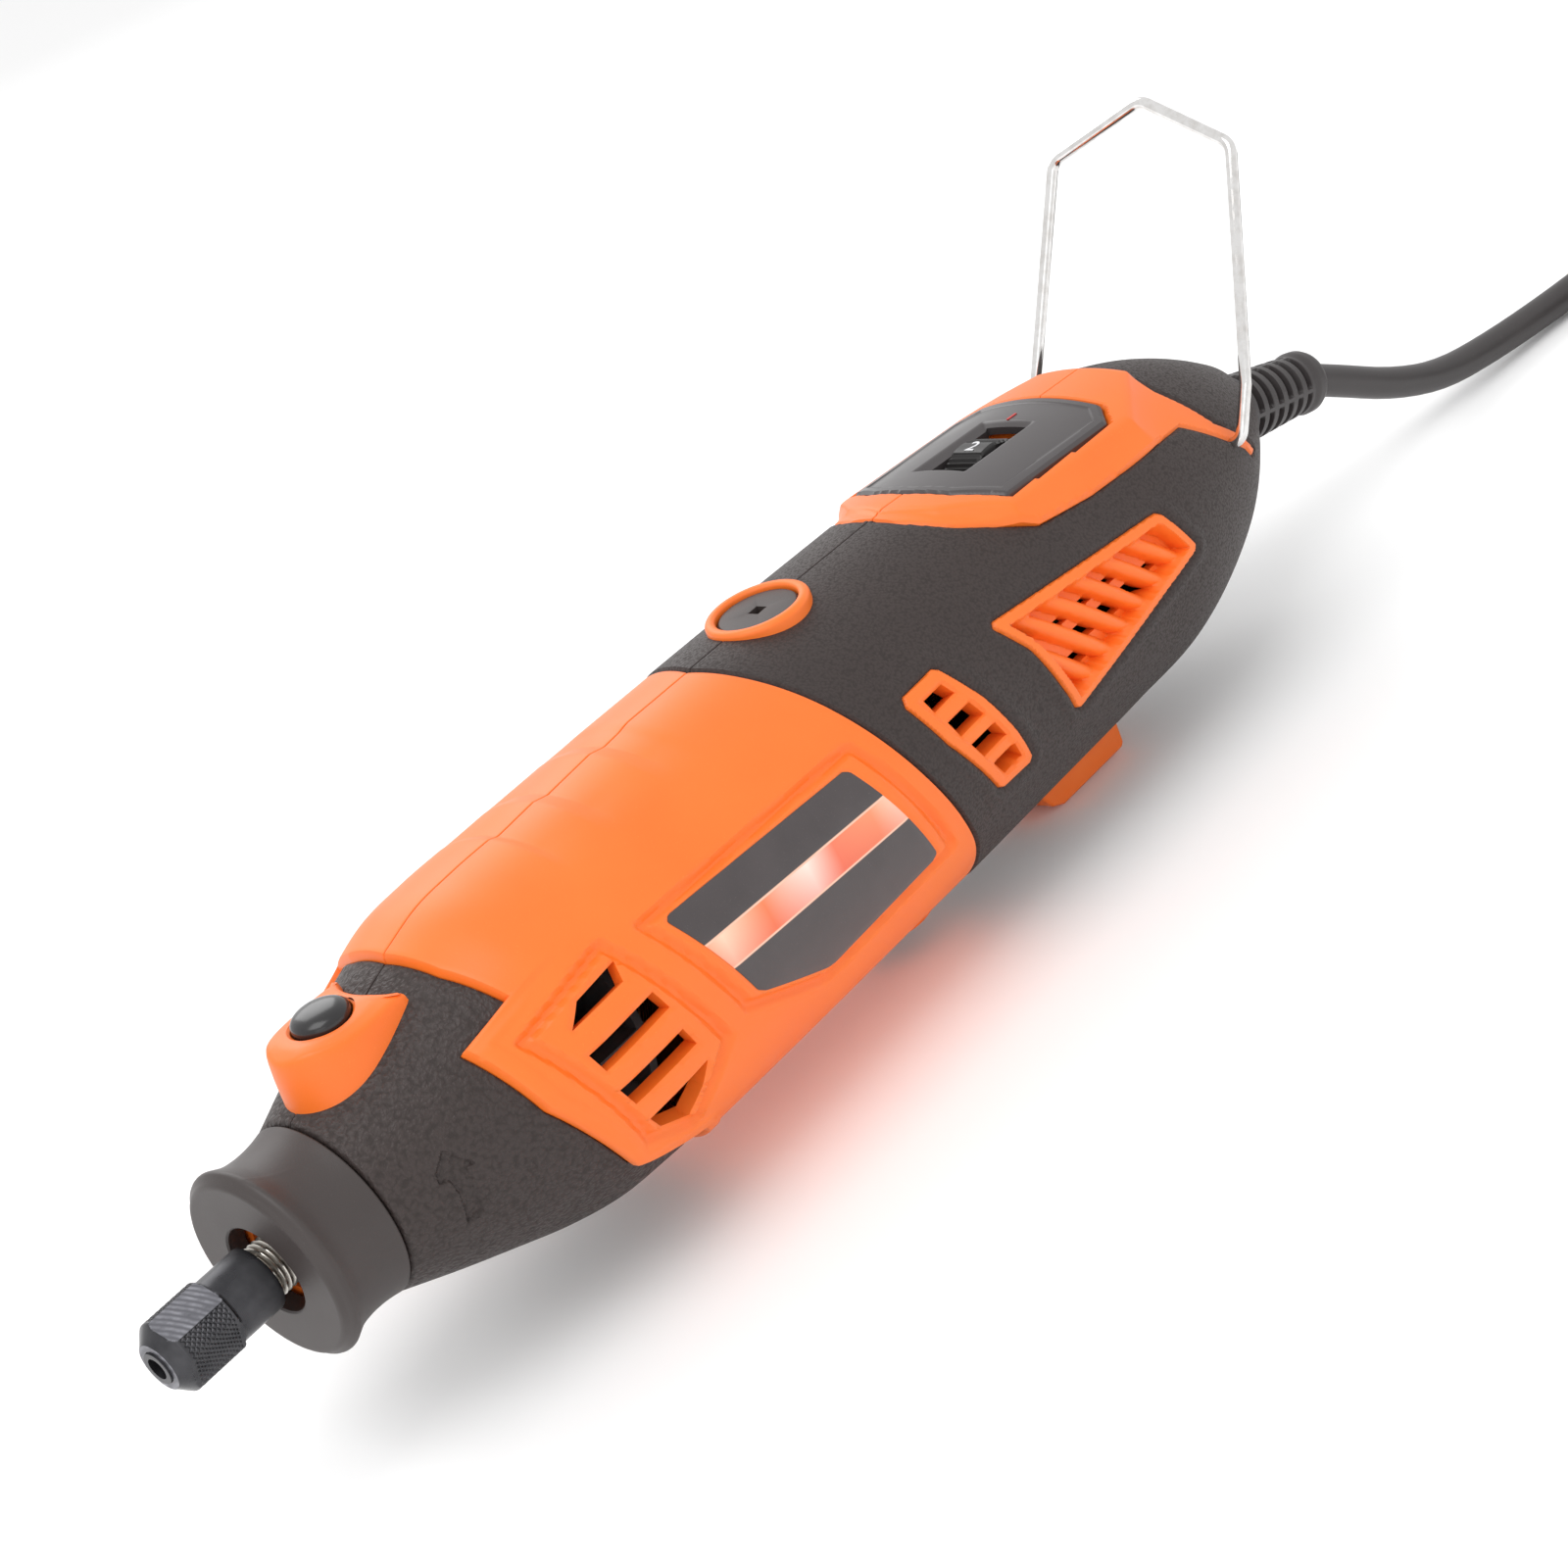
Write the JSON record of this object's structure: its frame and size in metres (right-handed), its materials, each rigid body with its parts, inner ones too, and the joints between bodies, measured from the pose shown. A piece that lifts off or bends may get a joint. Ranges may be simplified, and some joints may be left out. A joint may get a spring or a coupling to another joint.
{
  "type": "corded rotary tool",
  "caption": "Corded rotary tool with collet chuck, spindle lock, speed dial, soft grips, cooling vents, wire hanger and a mains lead.",
  "frame": {"origin": "centre of the collet's mouth on the spindle axis", "axes": "+X runs along the spindle axis to the mains lead, +Z is the side with the lock button and speed dial, -Y is the left side seen from behind the tool"},
  "size_m": [0.48, 0.0861, 0.086],
  "materials": {
    "orange_shell": "satin moulded nylon",
    "soft_grip": "fine leather grain",
    "nose_plastic": "matt moulded nylon",
    "dial_plastic": "satin",
    "button_plastic": "gloss",
    "black_oxide_steel": "black oxide",
    "bright_steel": "turned",
    "chrome_wire": "polished",
    "copper_winding": "enamelled wire",
    "lamination_steel": "stacked sheet",
    "brass_part": "plain",
    "carbon": "pressed carbon",
    "fan_plastic": "plain",
    "board_plastic": "solder mask",
    "device_plastic": "plain",
    "label_print": "printed",
    "cord_rubber": "matt",
    "plug_plastic": "matt",
    "tie_strap": "woven"
  },
  "bodies": {
    "housing": {"housing_left": "orange_shell", "housing_right": "orange_shell", "front_grip_left": "soft_grip", "front_grip_right": "soft_grip", "rear_grip_left": "soft_grip", "rear_grip_right": "soft_grip", "label_left": "label_print", "label_right": "label_print", "housing_screws": "bright_steel", "front_bearing": "bright_steel", "rear_bearing": "bright_steel", "stator_core": "lamination_steel", "field_coils": "copper_winding", "brush_holder_top": "brass_part", "brush_holder_bottom": "brass_part", "carbon_brush_top": "carbon", "carbon_brush_bottom": "carbon", "brush_spring_top": "bright_steel", "brush_spring_bottom": "bright_steel", "lock_spring": "bright_steel", "dial_cover": "dial_plastic", "speed_control": "device_plastic", "control_board": "board_plastic", "triac": "device_plastic", "noise_capacitor": "device_plastic", "switch_body": "device_plastic", "strain_relief": "cord_rubber", "cord_clamp": "device_plastic", "mains_cord": "cord_rubber", "cord_coil": "cord_rubber", "cord_tail": "cord_rubber", "cord_tie": "tie_strap", "plug": "plug_plastic", "plug_pins": "bright_steel"},
    "rotor": {"spindle": "bright_steel", "armature_core": "lamination_steel", "armature_windings": "copper_winding", "commutator": "brass_part", "cooling_fan": "fan_plastic", "collet": "bright_steel"},
    "collet_nut": {"collet_nut": "black_oxide_steel"},
    "nose_cap": {"nose_cap": "nose_plastic"},
    "lock_button": {"lock_button": "button_plastic", "lock_pin": "bright_steel"},
    "brush_cap_top": {"brush_cap_top": "nose_plastic"},
    "brush_cap_bottom": {"brush_cap_bottom": "nose_plastic"},
    "speed_dial": {"speed_dial": "nose_plastic"},
    "power_switch": {"power_switch": "orange_shell"},
    "bail": {"bail": "chrome_wire"}
  },
  "joints": [
    {"name": "spindle_spin", "type": "hinge", "parent": "housing", "child": "rotor", "pos_m": [0, 0, 0], "axis": [1, 0, 0], "continuous": true},
    {"name": "collet_nut_turn", "type": "hinge", "parent": "rotor", "child": "collet_nut", "pos_m": [0, 0, 0], "axis": [1, 0, 0], "range_deg": [-360, 0]},
    {"name": "nose_cap_turn", "type": "hinge", "parent": "housing", "child": "nose_cap", "pos_m": [0, 0, 0], "axis": [1, 0, 0], "range_deg": [-360, 0]},
    {"name": "lock_press", "type": "slide", "parent": "housing", "child": "lock_button", "axis": [0, 0, -1], "range_m": [0, 0.003], "stiffness_N_per_m": 1500, "springref_m": -0.001, "deforming": ["lock_spring"]},
    {"name": "brush_cap_top_turn", "type": "hinge", "parent": "housing", "child": "brush_cap_top", "pos_m": [0.1368, 0, 0.025], "axis": [0, 0, 1], "range_deg": [0, 360]},
    {"name": "brush_cap_bottom_turn", "type": "hinge", "parent": "housing", "child": "brush_cap_bottom", "pos_m": [0.1368, 0, -0.025], "axis": [0, 0, -1], "range_deg": [0, 360]},
    {"name": "speed_dial_turn", "type": "hinge", "parent": "housing", "child": "speed_dial", "pos_m": [0.19, 0, 0.0149], "axis": [0, 1, 0], "range_deg": [-50, 200]},
    {"name": "power_slide", "type": "slide", "parent": "housing", "child": "power_switch", "axis": [-1, 0, 0], "range_m": [0, 0.004]},
    {"name": "bail_swing", "type": "hinge", "parent": "housing", "child": "bail", "pos_m": [0.226, 0, 0.005], "axis": [0, 1, 0], "range_deg": [-75, 65]}
  ]
}
